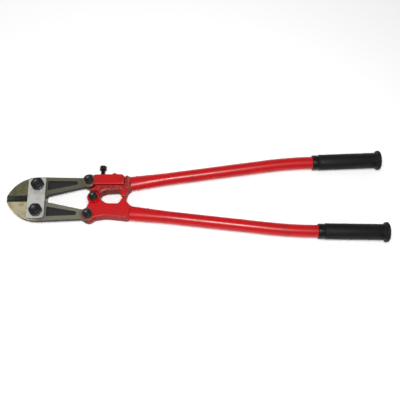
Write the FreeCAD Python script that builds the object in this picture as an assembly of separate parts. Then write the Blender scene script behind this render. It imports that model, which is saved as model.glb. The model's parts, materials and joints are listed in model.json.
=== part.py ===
import FreeCAD, Part
import math
import os

# Long-handled bolt cutters lying flat, in millimetres.
# +X runs from the jaws to the handles, +Y to the side that carries the adjusting screw, +Z up.
# Every sub-part is drawn with the centre pivot at X = Y = 0 and the mid-plane of the jaws at Z = 0.
# The whole tool is then moved so that the middle of its box is at X = Y = 0 and its lowest face at Z = 0.

Vector = FreeCAD.Vector
Z_AXIS = Vector(0, 0, 1)
ORIGIN = Vector(0, 0, 0)

# Linkage, at rest with the jaws and the stops closed
JAW_PIVOT_X = -113.0
JAW_PIVOT_Y = 27.6
REAR_PIVOT_X = -10.2
REAR_PIVOT_Y = 36.2

# Clearances
RUNNING_FIT = 0.05
SEAT_FIT = 0.05
SIDE_GAP = 0.3
STRAP_GAP = 0.2
EDGE_GAP = 0.1
STOP_GAP = 0.2
SWING_GAP = 0.6
# How far the hand-over between the constant joint ratios and the true path moves a rear pivot
SLOT_SHIFT_X = -2.4
SLOT_SHIFT_Y = 2.1
SLOT_ROOM = 1.2

# How far cutters reach past the metal that they cut
OVERCUT = 1.0

# Jaws
JAW_THICKNESS = 14.0
NOSE_LENGTH = 64.0
NOSE_BLUNT = 4.0
SHOULDER_Y = 46.4
TAIL_OUTER_Y = 43.8
BEVEL_WIDTH = 6.8
EDGE_LAND = 0.6
BEVEL_LENGTH = 50.0
TONGUE_THICKNESS = 11.0
TONGUE_RADIUS = 11.5
POCKET_DEPTH = 3.0
POCKET_CORNER = 2.2
POCKET_START = 18.5
POCKET_END = 23.0
POCKET_INNER_MARGIN = 9.0
POCKET_OUTER_MARGIN = 7.4
POCKET_SHOULDER_MARGIN = 8.4
POCKET_END_MARGIN = 5.0
POCKET_END_DEPTH = 12.0
JAW_CHAMFER = 0.9
NOSE_RAKE = 1.0
NOSE_BULGE = 8.5
SHOULDER_LENGTH = 12.0
SHOULDER_DROP = 0.8
TAIL_STEP = 16.0
TAIL_INNER_Y = 23.6
TONGUE_TOP_ANGLE = 100.0
TONGUE_BOTTOM_ANGLE = -95.0
CROTCH_LENGTH = 20.5
CROTCH_Y = 8.2
RELIEF_LENGTH = 14.5
RELIEF_Y = 2.7

# Straps
STRAP_WIDTH = 35.0
STRAP_OVERHANG = 15.2
STRAP_LEAD = 1.8
STRAP_THICKNESS = 5.5
STRAP_CORNER = 5.0
STRAP_CROWN = 1.2
STRAP_CROWN_RADIUS = 110.0
STRAP_CHAMFER = 0.6

# Jaw bolts and nuts
JAW_BOLT_RADIUS = 8.0
JAW_BOLT_FLATS = 24.0
JAW_BOLT_HEAD = 9.0
JAW_BOLT_DISH = 1.6
JAW_NUT_HEIGHT = 7.5
BOLT_RECESS = 0.4

# Rear and centre pivot bolts and nuts
PIVOT_BOLT_RADIUS = 5.0
PIVOT_BOLT_FLATS = 17.0
PIVOT_BOLT_HEAD = 7.0
PIVOT_BOLT_DISH = 1.4
PIVOT_NUT_HEIGHT = 6.0
PIVOT_BOLT_STICK_OUT = 0.8

# Shared by all hexagon heads and nuts, as shares of the width across flats, and by all bolt tips
HEX_FACE_SHARE = 0.475
HEX_TURNED_SHARE = 0.543
HEX_CHAMFER_ANGLE = 30.0
DISH_SHARE = 0.36
BOLT_TIP = 0.8

# Forged brackets and adjuster arm
BRACKET_THICKNESS = 28.0
BOSS_THICKNESS = 25.2
REAR_LOBE_RADIUS = 14.0
CENTER_LOBE_RADIUS = 13.0
SPOT_FACE_RADIUS = 11.0
BRACKET_FILLET = 1.6
BAND_TOP_Y = 25.5
BAND_BOTTOM_Y = 14.5
STOP_X = 61.8
STOP_WIDTH = 5.5
NECK_X = 74.0
NECK_WIDTH = 31.0
NECK_TAPER = 8.0
NECK_SPREAD = 8.0
NECK_PROUD = 0.5
ARM_GAP = 1.0
ARM_TOP_Y = 49.0
ARM_STEP_X = -1.8
ARM_PIN_X = 53.0
ARM_PIN_Y = 39.5
ARM_PIN_RADIUS = 4.0
ARM_TONGUE_THICKNESS = 12.0
ARM_TONGUE_RADIUS = 6.6
ARM_KNUCKLE_RADIUS = 9.5
ARM_KNUCKLE_CORNER = 9.0
ARM_CORNER = 3.0
PIN_PROUD = 0.6
RIVET_PROUD = 0.15
CENTER_TONGUE_RADIUS = 12.4
BAND_CORNER = 6.0
STOP_CORNER = 2.0
STOP_THROAT = 9.0
WAIST_X = 24.0
WAIST_Y = 40.3
NECK_THROAT_DROP = 4.0
BAND_LEFT_X = 4.0
BAND_LEFT_CORNER = 4.0
BAND_RIGHT_CORNER = 1.0
BAND_SAG = 0.8
HOLE_CORNER = 12.0
HOLE_END_RISE = 5.0
NECK_SHOULDER_DROP = 1.2
NECK_SHOULDER_CORNER = 2.4
NECK_GAP = 0.4
WEB_CORNER = 2.0
WEB_DROP = 1.5
TONGUE_ARM = ((-8, 5), (11, 3), (17, 12), (20, 22), (2, 22), (-7, 13))
OUTER_EDGE_DROP = 2.4
OUTER_EDGE_ROUND = 40.0
WAIST_ROUND = 50.0
WAIST_SHOULDER = (4.0, 43.3, 10.0)
LOBE_ROOT_X = 6.0
LOBE_ROOT_Y = 10.0
LOBE_THROAT_X = 3.0
LOBE_THROAT_CORNER = 4.0
CENTER_ROOT = 8.0

# Adjusting screw and clamp screw
SCREW_X = 15.5
SCREW_RADIUS = 4.0
SCREW_FLATS = 13.0
SCREW_HEAD = 8.0
SCREW_TIP_GAP = 0.5
SCREW_REACH = 14.3
SCREW_DISH = 0.8
CLAMP_X = 39.6
CLAMP_RADIUS = 3.0
CLAMP_HEAD_RADIUS = 5.0
CLAMP_HEAD_HEIGHT = 6.6
CLAMP_DOME = 2.2
CLAMP_SOCKET_FLATS = 4.0
CLAMP_DEPTH = 8.0
CLAMP_SEAT_GAP = 0.2
CLAMP_HOLE_ROOM = 0.5

# Handle tubes
TUBE_RADIUS = 12.7
TUBE_WALL = 2.0
TUBE_START_HALF_WIDTH = 15.0
TUBE_START_HALF_HEIGHT = 10.8
TUBE_SWAGE_LENGTH = 75.0
TUBE_Y = 31.9
TUBE_SLOPE = 7.3
GRIP_SLOPE = 1.55
BEND_X = 393.4
BEND_RADIUS = 900.0
TANG_LENGTH = 48.0
TANG_ROOM = 0.2
TANG_SUNK = 2.0
TUBE_PIN_RADIUS = 3.0
TUBE_PIN_STEPS = (14.0, 34.0)

# Grips
GRIP_X = 448.0
GRIP_LENGTH = 141.0
GRIP_WALL = 3.3
GRIP_MOUTH_WALL = 2.5
GRIP_FLANGE_WALL = 7.3
GRIP_RADIUS = TUBE_RADIUS + GRIP_WALL
GRIP_MOUTH_RADIUS = TUBE_RADIUS + GRIP_MOUTH_WALL
GRIP_FLANGE_RADIUS = TUBE_RADIUS + GRIP_FLANGE_WALL
GRIP_FLANGE_WIDTH = 8.0
GRIP_END_WALL = 4.0
GRIP_ROUND = 2.0
GRIP_BAND = 14.0
GRIP_BAND_STEP = 1.5
GRIP_MOUTH_ROUND = 0.8

# Values that follow from the ones above
JAW_HALF = JAW_THICKNESS / 2
TONGUE_HALF = TONGUE_THICKNESS / 2
BRACKET_HALF = BRACKET_THICKNESS / 2
BOSS_HALF = BOSS_THICKNESS / 2
ARM_TONGUE_HALF = ARM_TONGUE_THICKNESS / 2
STRAP_INNER = JAW_HALF + STRAP_GAP
STRAP_OUTER = STRAP_INNER + STRAP_THICKNESS
SLOT_SHIFT = math.hypot(SLOT_SHIFT_X, SLOT_SHIFT_Y)
TONGUE_SLOT_RADIUS = TONGUE_RADIUS + SLOT_SHIFT + SLOT_ROOM
JAW_STEP_RADIUS = REAR_LOBE_RADIUS + SLOT_SHIFT + SWING_GAP
JAW_PIVOT = Vector(JAW_PIVOT_X, JAW_PIVOT_Y, 0)
REAR_PIVOT = Vector(REAR_PIVOT_X, REAR_PIVOT_Y, 0)
ARM_PIN = Vector(ARM_PIN_X, ARM_PIN_Y, 0)
TUBE_START = Vector(NECK_X, TUBE_Y, 0)


def direction(degrees):
    """Unit vector in the XY plane at an angle from +X."""
    angle = math.radians(degrees)
    return Vector(math.cos(angle), math.sin(angle), 0)


def outline(corners):
    """Closed wire through (x, y, corner radius) points, each corner rounded by a tangent arc."""
    edges = []
    cuts = []
    for index, (x, y, radius) in enumerate(corners):
        here = Vector(x, y, 0)
        before = Vector(*corners[index - 1][:2], 0)
        after = Vector(*corners[(index + 1) % len(corners)][:2], 0)
        if radius == 0:
            cuts.append((here, None, here))
            continue
        back = (before - here).normalize()
        ahead = (after - here).normalize()
        half_angle = back.getAngle(ahead) / 2
        reach = radius / math.tan(half_angle)
        middle = (back + ahead).normalize()
        arc_middle = here + middle * (radius / math.sin(half_angle) - radius)
        cuts.append((here + back * reach, arc_middle, here + ahead * reach))
    for index, (start, arc_middle, end) in enumerate(cuts):
        if arc_middle is not None:
            edges.append(Part.Arc(start, arc_middle, end).toShape())
        following = cuts[(index + 1) % len(cuts)][0]
        if end.distanceToPoint(following) > 1e-6:
            edges.append(Part.LineSegment(end, following).toShape())
    return Part.Wire(edges)


def slab(wire, half_thickness):
    """Solid plate of a closed wire, from -half_thickness to +half_thickness."""
    face = Part.Face(wire)
    face.translate(Vector(0, 0, -half_thickness))
    return face.extrude(Vector(0, 0, 2 * half_thickness))


def disc(center, radius, half_thickness):
    """Round plate about a point, centred on the mid-plane."""
    base = center + Vector(0, 0, -half_thickness)
    return Part.makeCylinder(radius, 2 * half_thickness, base, Z_AXIS)


def box_between(low, high):
    """Box between two corners."""
    size = high - low
    return Part.makeBox(size.x, size.y, size.z, low)


def mirrored(shape):
    """The same shape on the other side of the tool's centre line."""
    return shape.mirror(ORIGIN, Vector(0, 1, 0))


def rim_edges(shape, levels):
    """Edges that lie wholly in one of the given horizontal planes."""
    picked = []
    for edge in shape.Edges:
        box = edge.BoundBox
        for level in levels:
            if abs(box.ZMin - level) < 1e-3 and abs(box.ZMax - level) < 1e-3:
                picked.append(edge)
    return picked


def hexagon(flats, height, chamfered_base=False):
    """Hexagonal block standing on Z = 0, with its corners turned off at the top, or at both ends."""
    corner = flats / math.sqrt(3)
    points = []
    for index in range(7):
        angle = math.radians(60 * index)
        points.append(Vector(corner * math.cos(angle), corner * math.sin(angle), 0))
    prism = Part.Face(Part.makePolygon(points)).extrude(Vector(0, 0, height))
    face_radius = flats * HEX_FACE_SHARE
    outer = flats * HEX_TURNED_SHARE
    fall = (outer - face_radius) * math.tan(math.radians(HEX_CHAMFER_ANGLE))
    turned = Part.makeCylinder(outer, height - fall)
    turned = turned.fuse(Part.makeCone(outer, face_radius, fall, Vector(0, 0, height - fall)))
    block = prism.common(turned)
    if chamfered_base:
        upside = turned.mirror(Vector(0, 0, height / 2), Z_AXIS)
        block = block.common(upside)
    return block


def bolt(flats, head_height, radius, length, dish_depth):
    """Hexagon bolt along Z: the head stands on Z = 0 with a shallow dish, the shank runs down."""
    head = hexagon(flats, head_height)
    dish_radius = flats * DISH_SHARE
    ball_radius = (dish_radius ** 2 + dish_depth ** 2) / (2 * dish_depth)
    ball = Part.makeSphere(ball_radius, Vector(0, 0, head_height + ball_radius - dish_depth))
    shank = Part.makeCylinder(radius, length + OVERCUT, Vector(0, 0, -length))
    tip = Part.makeCone(radius - BOLT_TIP, radius, BOLT_TIP, Vector(0, 0, -length))
    shank = shank.cut(Part.makeCylinder(radius + OVERCUT, BOLT_TIP, Vector(0, 0, -length))).fuse(tip)
    return head.cut(ball).fuse(shank).removeSplitter()


def nut(flats, height, radius):
    """Hexagon nut from Z = 0 downwards, bored for a bolt."""
    block = hexagon(flats, height, chamfered_base=True)
    bore = Part.makeCylinder(radius + SEAT_FIT, height + 2 * OVERCUT, Vector(0, 0, -OVERCUT))
    block = block.cut(bore)
    block.translate(Vector(0, 0, -height))
    return block


def placed(shape, point, level):
    """The shape moved from the origin to a point of the plan at a height."""
    moved = shape.copy()
    moved.translate(Vector(point.x, point.y, level))
    return moved


def capsule(start, end, radius, half_thickness):
    """Slot-shaped plate between two points."""
    run = end - start
    side = Vector(-run.y, run.x, 0).normalize() * radius
    corners = [start + side, start - side, end - side, end + side, start + side]
    middle = slab(Part.makePolygon(corners), half_thickness)
    middle = middle.fuse(disc(start, radius, half_thickness))
    return middle.fuse(disc(end, radius, half_thickness)).removeSplitter()


# Jaws


def jaw_outline():
    """Upper jaw from above: blunt nose, shoulder, tail to the rear pivot and relieved inner edge."""
    nose_x = JAW_PIVOT_X - NOSE_LENGTH
    edge_y = EDGE_GAP / 2
    tip_low = Vector(nose_x, edge_y, 0)
    tip_high = Vector(nose_x + NOSE_RAKE, NOSE_BLUNT, 0)
    shoulder_start = Vector(JAW_PIVOT_X - SHOULDER_LENGTH, SHOULDER_Y - SHOULDER_DROP, 0)
    shoulder_end = Vector(JAW_PIVOT_X + SHOULDER_LENGTH / 2, SHOULDER_Y, 0)
    shoulder_top = Vector(JAW_PIVOT_X - SHOULDER_LENGTH / 3, SHOULDER_Y, 0)
    nose_chord = shoulder_start - tip_high
    nose_bulge = Vector(-nose_chord.y, nose_chord.x, 0).normalize() * NOSE_BULGE
    nose_middle = (tip_high + shoulder_start) * 0.5 + nose_bulge
    tail_outer = Vector(REAR_PIVOT_X - TAIL_STEP, TAIL_OUTER_Y, 0)
    tongue_top = REAR_PIVOT + direction(TONGUE_TOP_ANGLE) * TONGUE_RADIUS
    tongue_end = REAR_PIVOT + Vector(TONGUE_RADIUS, 0, 0)
    tongue_bottom = REAR_PIVOT + direction(TONGUE_BOTTOM_ANGLE) * TONGUE_RADIUS
    tail_inner = Vector(REAR_PIVOT_X - TAIL_STEP, TAIL_INNER_Y, 0)
    crotch = Vector(JAW_PIVOT_X + CROTCH_LENGTH, CROTCH_Y, 0)
    relief = Vector(JAW_PIVOT_X + RELIEF_LENGTH, RELIEF_Y, 0)
    pad = Vector(JAW_PIVOT_X, edge_y, 0)
    lines = [
        (shoulder_end, tail_outer),
        (tail_outer, tongue_top),
        (tongue_bottom, tail_inner),
        (tail_inner, crotch),
        (crotch, relief),
        (relief, pad),
        (pad, tip_low),
        (tip_low, tip_high),
    ]
    edges = [Part.LineSegment(start, end).toShape() for start, end in lines]
    edges.append(Part.Arc(tip_high, nose_middle, shoulder_start).toShape())
    edges.append(Part.Arc(shoulder_start, shoulder_top, shoulder_end).toShape())
    edges.append(Part.Arc(tongue_top, tongue_end, tongue_bottom).toShape())
    return Part.Wire(Part.__sortEdges__(edges))


def cutting_bevel():
    """Wedges taken off both faces of the upper jaw so that its edge comes to a narrow land."""
    start_x = JAW_PIVOT_X - NOSE_LENGTH - OVERCUT
    land = EDGE_LAND / 2
    slope = (JAW_HALF - land) / BEVEL_WIDTH
    above = JAW_HALF + OVERCUT
    points = [
        Vector(start_x, -OVERCUT, land - OVERCUT * slope),
        Vector(start_x, BEVEL_WIDTH + OVERCUT / slope, above),
        Vector(start_x, -OVERCUT, above),
        Vector(start_x, -OVERCUT, land - OVERCUT * slope),
    ]
    upper = Part.Face(Part.makePolygon(points)).extrude(Vector(BEVEL_LENGTH, 0, 0))
    return upper.fuse(upper.mirror(ORIGIN, Z_AXIS))


def jaw_pocket():
    """Tapered pockets forged into both faces of the jaw's tail."""
    left = JAW_PIVOT_X + POCKET_START
    right = REAR_PIVOT_X - POCKET_END
    corners = [
        (left, CROTCH_Y + POCKET_INNER_MARGIN, POCKET_CORNER),
        (right - POCKET_CORNER, TAIL_INNER_Y + POCKET_END_MARGIN, POCKET_CORNER),
        (right, TAIL_OUTER_Y - POCKET_END_DEPTH, POCKET_CORNER),
        (right - POCKET_CORNER, TAIL_OUTER_Y - POCKET_OUTER_MARGIN, POCKET_CORNER),
        (left, SHOULDER_Y - POCKET_SHOULDER_MARGIN, POCKET_CORNER),
    ]
    cutter = slab(outline(corners), JAW_HALF + OVERCUT)
    keep = box_between(
        Vector(left - OVERCUT, 0, -JAW_HALF + POCKET_DEPTH),
        Vector(right + OVERCUT, SHOULDER_Y, JAW_HALF - POCKET_DEPTH),
    )
    return cutter.cut(keep)


def jaw():
    """Upper jaw, with its cutting edge on the tool's centre line."""
    body = slab(jaw_outline(), JAW_HALF)
    body = body.makeChamfer(JAW_CHAMFER, rim_edges(body, (-JAW_HALF, JAW_HALF)))
    body = body.cut(cutting_bevel())
    body = body.cut(jaw_pocket())
    step = disc(REAR_PIVOT, JAW_STEP_RADIUS, JAW_HALF + OVERCUT)
    step = step.cut(disc(REAR_PIVOT, JAW_STEP_RADIUS + OVERCUT, TONGUE_HALF))
    body = body.cut(step)
    body = body.cut(disc(JAW_PIVOT, JAW_BOLT_RADIUS + RUNNING_FIT, JAW_HALF + OVERCUT))
    shifted = REAR_PIVOT + Vector(SLOT_SHIFT_X, SLOT_SHIFT_Y, 0)
    return body.cut(capsule(REAR_PIVOT, shifted, PIVOT_BOLT_RADIUS + SLOT_ROOM, JAW_HALF + OVERCUT))


# Straps and jaw bolts


def strap():
    """Side strap that joins the two jaw bolts, centred on the mid-plane."""
    half_length = JAW_PIVOT_Y + STRAP_OVERHANG
    half_width = STRAP_WIDTH / 2
    middle = JAW_PIVOT_X - STRAP_LEAD
    corners = []
    for side in (-1, 1):
        corners.append((middle + side * half_width, side * half_length, STRAP_CORNER))
        corners.append((middle, side * (half_length + STRAP_CROWN), STRAP_CROWN_RADIUS))
        corners.append((middle - side * half_width, side * half_length, STRAP_CORNER))
    plate = slab(outline(corners), STRAP_THICKNESS / 2)
    plate = plate.makeChamfer(STRAP_CHAMFER, rim_edges(plate, (-STRAP_THICKNESS / 2, STRAP_THICKNESS / 2)))
    for side in (-1, 1):
        center = Vector(JAW_PIVOT_X, side * JAW_PIVOT_Y, 0)
        plate = plate.cut(disc(center, JAW_BOLT_RADIUS + SEAT_FIT, STRAP_THICKNESS))
    return plate


def jaw_bolt():
    """Hexagon bolt on which a jaw turns; its end stays just inside the nut."""
    length = 2 * STRAP_OUTER + JAW_NUT_HEIGHT - BOLT_RECESS
    made = bolt(JAW_BOLT_FLATS, JAW_BOLT_HEAD, JAW_BOLT_RADIUS, length, JAW_BOLT_DISH)
    return placed(made, JAW_PIVOT, STRAP_OUTER)


# Brackets


def neck_corner(side):
    """Corner of the face that a bracket's neck turns to the tube."""
    return TUBE_START + direction(TUBE_SLOPE + 90) * (side * NECK_WIDTH / 2)


def stop_and_neck():
    """Outline points shared by both brackets: the stop pad and the neck up to the tube."""
    inner = neck_corner(-1)
    outer = neck_corner(1)
    pad_y = STOP_GAP / 2
    return [
        (STOP_X - STOP_WIDTH - BAND_CORNER, BAND_BOTTOM_Y, BAND_CORNER),
        (STOP_X - STOP_WIDTH / 2, pad_y, STOP_CORNER),
        (STOP_X + STOP_WIDTH / 2, pad_y, STOP_CORNER),
        (STOP_X + STOP_WIDTH, inner.y - NECK_THROAT_DROP, STOP_THROAT),
        (inner.x, inner.y, 0),
        (outer.x, outer.y, 0),
    ]


def tang():
    """Tapered tang of a bracket that fills the start of the handle tube."""
    sunk = TUBE_START - direction(TUBE_SLOPE) * TANG_SUNK
    end = TUBE_START + direction(TUBE_SLOPE) * TANG_LENGTH
    first = tube_section(sunk, TUBE_SLOPE, *tube_half_sizes(0, TUBE_WALL + TANG_ROOM))
    share = TANG_LENGTH / TUBE_SWAGE_LENGTH
    width, height = tube_half_sizes(share, TUBE_WALL + TANG_ROOM)
    height = min(height, TUBE_START_HALF_HEIGHT - TUBE_WALL - TANG_ROOM)
    last = tube_section(end, TUBE_SLOPE, width, height)
    return Part.makeLoft([first, last], True, True)


def neck_blend():
    """Metal to take off a bracket so that its neck tapers down to the oval of the tube."""
    along = direction(TUBE_SLOPE)
    back = TUBE_START - along * NECK_TAPER
    half_width = TUBE_START_HALF_WIDTH + NECK_PROUD
    half_height = TUBE_START_HALF_HEIGHT + NECK_PROUD
    wide = tube_section(back, TUBE_SLOPE, half_width + NECK_SPREAD, half_height + NECK_SPREAD)
    narrow = tube_section(TUBE_START, TUBE_SLOPE, half_width, half_height)
    sleeve = Part.makeLoft([wide, narrow], True, True)
    block = Part.makeBox(NECK_TAPER, 2 * NECK_WIDTH, 2 * BRACKET_THICKNESS)
    block.translate(Vector(0, -NECK_WIDTH, -BRACKET_THICKNESS))
    block.rotate(ORIGIN, Z_AXIS, TUBE_SLOPE)
    block.translate(back)
    return block.cut(sleeve)


def spot_faces(center, radius):
    """Rings of metal above and below a boss, to be taken off."""
    ring = disc(center, radius, BRACKET_HALF + OVERCUT)
    return ring.cut(disc(center, radius + OVERCUT, BOSS_HALF))


def upper_bracket():
    """Upper bracket: centre tongue, band under the adjuster arm, stop, neck and tang."""
    lobe = CENTER_LOBE_RADIUS
    hole_end = BAND_BOTTOM_Y - HOLE_END_RISE
    corners = [
        (-lobe + BAND_LEFT_CORNER, lobe - WEB_DROP, WEB_CORNER),
        (0, 0, 0),
        (lobe, hole_end / 2, 0),
        (lobe + WEB_DROP, hole_end, WEB_CORNER),
        (2 * lobe, BAND_BOTTOM_Y - BAND_SAG, HOLE_CORNER),
    ]
    corners += stop_and_neck()
    neck_left = ARM_PIN_X + ARM_KNUCKLE_RADIUS + NECK_GAP
    corners += [
        (neck_left, neck_corner(1).y - NECK_SHOULDER_DROP, NECK_SHOULDER_CORNER),
        (neck_left, BAND_TOP_Y, BAND_RIGHT_CORNER),
        (BAND_LEFT_X, BAND_TOP_Y, BAND_LEFT_CORNER),
    ]
    body = slab(outline(corners), BRACKET_HALF)
    body = body.makeFillet(BRACKET_FILLET, rim_edges(body, (-BRACKET_HALF, BRACKET_HALF)))
    body = body.cut(disc(ORIGIN, CENTER_LOBE_RADIUS + SWING_GAP, BRACKET_HALF + OVERCUT))
    body = body.cut(neck_blend())
    tongue = slab(outline([(x, y, 0) for x, y in TONGUE_ARM]), TONGUE_HALF)
    tongue = tongue.fuse(disc(ORIGIN, CENTER_TONGUE_RADIUS, TONGUE_HALF))
    ear = box_between(
        ARM_PIN - Vector(0, ARM_TONGUE_RADIUS, ARM_TONGUE_HALF),
        Vector(neck_left + ARM_TONGUE_RADIUS, ARM_PIN_Y + ARM_TONGUE_RADIUS, ARM_TONGUE_HALF),
    )
    ear = ear.fuse(disc(ARM_PIN, ARM_TONGUE_RADIUS, ARM_TONGUE_HALF))
    body = body.multiFuse([tongue, ear, tang()]).removeSplitter()
    body = body.cut(disc(ORIGIN, PIVOT_BOLT_RADIUS + RUNNING_FIT, BRACKET_HALF))
    body = body.cut(disc(ARM_PIN, ARM_PIN_RADIUS + RUNNING_FIT, BRACKET_HALF))
    mouth = Vector(CLAMP_X, BAND_TOP_Y + OVERCUT, 0)
    thread = Part.makeCylinder(CLAMP_RADIUS + SEAT_FIT, CLAMP_DEPTH + 2 * OVERCUT, mouth, Vector(0, -1, 0))
    body = body.cut(thread)
    return body.cut(tube_pins(SEAT_FIT))


def lower_bracket():
    """Lower bracket: forked centre and rear lobes, broad web, stop, neck and tang."""
    corners = [
        (0, 0, 0),
        (CENTER_LOBE_RADIUS + WEB_DROP, HOLE_END_RISE, WEB_CORNER),
        (2 * CENTER_LOBE_RADIUS, BAND_BOTTOM_Y - BAND_SAG, HOLE_CORNER),
    ]
    corners += stop_and_neck()
    corners += [
        (STOP_X, neck_corner(1).y - OUTER_EDGE_DROP, OUTER_EDGE_ROUND),
        (WAIST_X, WAIST_Y, WAIST_ROUND),
        WAIST_SHOULDER,
        (REAR_PIVOT_X + LOBE_ROOT_X, REAR_PIVOT_Y + LOBE_ROOT_Y, 0),
        (REAR_PIVOT_X, REAR_PIVOT_Y, 0),
        (REAR_PIVOT_X - LOBE_THROAT_X, REAR_PIVOT_Y - REAR_LOBE_RADIUS, 0),
        (REAR_PIVOT_X, CENTER_LOBE_RADIUS + WEB_CORNER, LOBE_THROAT_CORNER),
        (-CENTER_ROOT, CENTER_ROOT, 0),
    ]
    body = slab(outline(corners), BRACKET_HALF)
    body = body.makeFillet(BRACKET_FILLET, rim_edges(body, (-BRACKET_HALF, BRACKET_HALF)))
    body = body.cut(neck_blend())
    body = body.cut(spot_faces(REAR_PIVOT, SPOT_FACE_RADIUS))
    body = body.cut(spot_faces(ORIGIN, CENTER_LOBE_RADIUS))
    rear = disc(REAR_PIVOT, REAR_LOBE_RADIUS, BOSS_HALF)
    center = disc(ORIGIN, CENTER_LOBE_RADIUS, BOSS_HALF)
    rear = rear.makeFillet(BRACKET_FILLET, rim_edges(rear, (-BOSS_HALF, BOSS_HALF)))
    center = center.makeFillet(BRACKET_FILLET / 2, rim_edges(center, (-BOSS_HALF, BOSS_HALF)))
    body = body.multiFuse([rear, center, tang()]).removeSplitter()
    body = body.cut(disc(REAR_PIVOT, TONGUE_SLOT_RADIUS, TONGUE_HALF + SIDE_GAP))
    body = body.cut(disc(ORIGIN, CENTER_LOBE_RADIUS + SWING_GAP, TONGUE_HALF + SIDE_GAP))
    body = body.cut(disc(REAR_PIVOT, PIVOT_BOLT_RADIUS + SEAT_FIT, BRACKET_HALF))
    body = body.cut(disc(ORIGIN, PIVOT_BOLT_RADIUS + RUNNING_FIT, BRACKET_HALF))
    return mirrored(body.cut(tube_pins(SEAT_FIT)))


def adjuster_arm():
    """Arm that carries the upper rear pivot and turns on its pin in the upper bracket."""
    bottom = BAND_TOP_Y + ARM_GAP
    right = ARM_PIN_X + ARM_KNUCKLE_RADIUS
    corners = [
        (ARM_STEP_X, bottom, 0),
        (right, bottom, ARM_CORNER),
        (right, ARM_TOP_Y, ARM_KNUCKLE_CORNER),
        (ARM_STEP_X, ARM_TOP_Y, ARM_CORNER),
    ]
    body = slab(outline(corners), BRACKET_HALF)
    body = body.makeFillet(BRACKET_FILLET, rim_edges(body, (-BRACKET_HALF, BRACKET_HALF)))
    body = body.cut(spot_faces(REAR_PIVOT, SPOT_FACE_RADIUS))
    lobe = disc(REAR_PIVOT, REAR_LOBE_RADIUS, BOSS_HALF)
    lobe = lobe.makeFillet(BRACKET_FILLET, rim_edges(lobe, (-BOSS_HALF, BOSS_HALF)))
    body = body.fuse(lobe).removeSplitter()
    slot_half = TONGUE_HALF + SIDE_GAP
    body = body.cut(disc(REAR_PIVOT, TONGUE_SLOT_RADIUS, slot_half))
    lobe_reach = REAR_LOBE_RADIUS + OVERCUT
    body = body.cut(box_between(
        REAR_PIVOT - Vector(lobe_reach, lobe_reach, slot_half),
        REAR_PIVOT + Vector(TONGUE_RADIUS, lobe_reach, slot_half),
    ))
    ear_half = ARM_TONGUE_HALF + SIDE_GAP
    body = body.cut(box_between(
        Vector(ARM_PIN_X - ARM_TONGUE_RADIUS - SWING_GAP, bottom - OVERCUT, -ear_half),
        Vector(right + OVERCUT, ARM_TOP_Y + OVERCUT, ear_half),
    ))
    body = body.cut(disc(REAR_PIVOT, PIVOT_BOLT_RADIUS + SEAT_FIT, BRACKET_HALF))
    body = body.cut(disc(ARM_PIN, ARM_PIN_RADIUS + RUNNING_FIT, BRACKET_HALF + OVERCUT))
    depth = ARM_TOP_Y - bottom + 2 * OVERCUT
    for x, radius in ((SCREW_X, SCREW_RADIUS + RUNNING_FIT), (CLAMP_X, CLAMP_RADIUS + CLAMP_HOLE_ROOM)):
        body = body.cut(Part.makeCylinder(radius, depth, Vector(x, bottom - OVERCUT, 0), Vector(0, 1, 0)))
    return body


def arm_pin():
    """Pin of the adjuster arm, with turned ends that stand just proud of the arm."""
    half_length = BRACKET_HALF + PIN_PROUD
    pin = disc(ARM_PIN, ARM_PIN_RADIUS, half_length)
    return pin.makeChamfer(PIN_PROUD, rim_edges(pin, (-half_length, half_length)))


def adjusting_screw():
    """Hexagon screw through the adjuster arm; its tip stops just short of the bracket's band."""
    tip_y = BAND_TOP_Y + SCREW_TIP_GAP
    head_y = ARM_TOP_Y + SCREW_REACH
    screw = bolt(SCREW_FLATS, SCREW_HEAD, SCREW_RADIUS, head_y - tip_y, SCREW_DISH)
    screw.rotate(ORIGIN, Vector(1, 0, 0), -90)
    screw.translate(Vector(SCREW_X, head_y, 0))
    return screw


def clamp_screw():
    """Domed cap screw that ties the adjuster arm to the band."""
    seat_y = ARM_TOP_Y + CLAMP_SEAT_GAP
    ball_radius = (CLAMP_HEAD_RADIUS ** 2 + CLAMP_DOME ** 2) / (2 * CLAMP_DOME)
    ball = Part.makeSphere(ball_radius, Vector(0, 0, CLAMP_HEAD_HEIGHT - ball_radius))
    head = Part.makeCylinder(CLAMP_HEAD_RADIUS, CLAMP_HEAD_HEIGHT).common(ball)
    socket = hexagon(CLAMP_SOCKET_FLATS, CLAMP_HEAD_HEIGHT)
    socket.translate(Vector(0, 0, CLAMP_HEAD_HEIGHT / 2))
    length = seat_y - BAND_TOP_Y + CLAMP_DEPTH
    shank = Part.makeCylinder(CLAMP_RADIUS, length, Vector(0, 0, -length))
    screw = head.cut(socket).fuse(shank).removeSplitter()
    screw.rotate(ORIGIN, Vector(1, 0, 0), -90)
    screw.translate(Vector(CLAMP_X, seat_y, 0))
    return screw


def pivot_bolt(center):
    """Pivot bolt with its head on the upper boss and its end just through the nut."""
    length = BOSS_THICKNESS + PIVOT_NUT_HEIGHT + PIVOT_BOLT_STICK_OUT
    made = bolt(PIVOT_BOLT_FLATS, PIVOT_BOLT_HEAD, PIVOT_BOLT_RADIUS, length, PIVOT_BOLT_DISH)
    return placed(made, center, BOSS_HALF)


def pivot_nut(center):
    """Nut of a pivot bolt, under the lower boss."""
    made = nut(PIVOT_BOLT_FLATS, PIVOT_NUT_HEIGHT, PIVOT_BOLT_RADIUS)
    return placed(made, center, -BOSS_HALF)


# Handle tubes and grips


def tube_half_sizes(share, inset):
    """Half width and half height of the swaged tube at a share of its swage, less an inset."""
    width = TUBE_START_HALF_WIDTH + (TUBE_RADIUS - TUBE_START_HALF_WIDTH) * share
    height = TUBE_START_HALF_HEIGHT + (TUBE_RADIUS - TUBE_START_HALF_HEIGHT) * share
    return width - inset, height - inset


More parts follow.
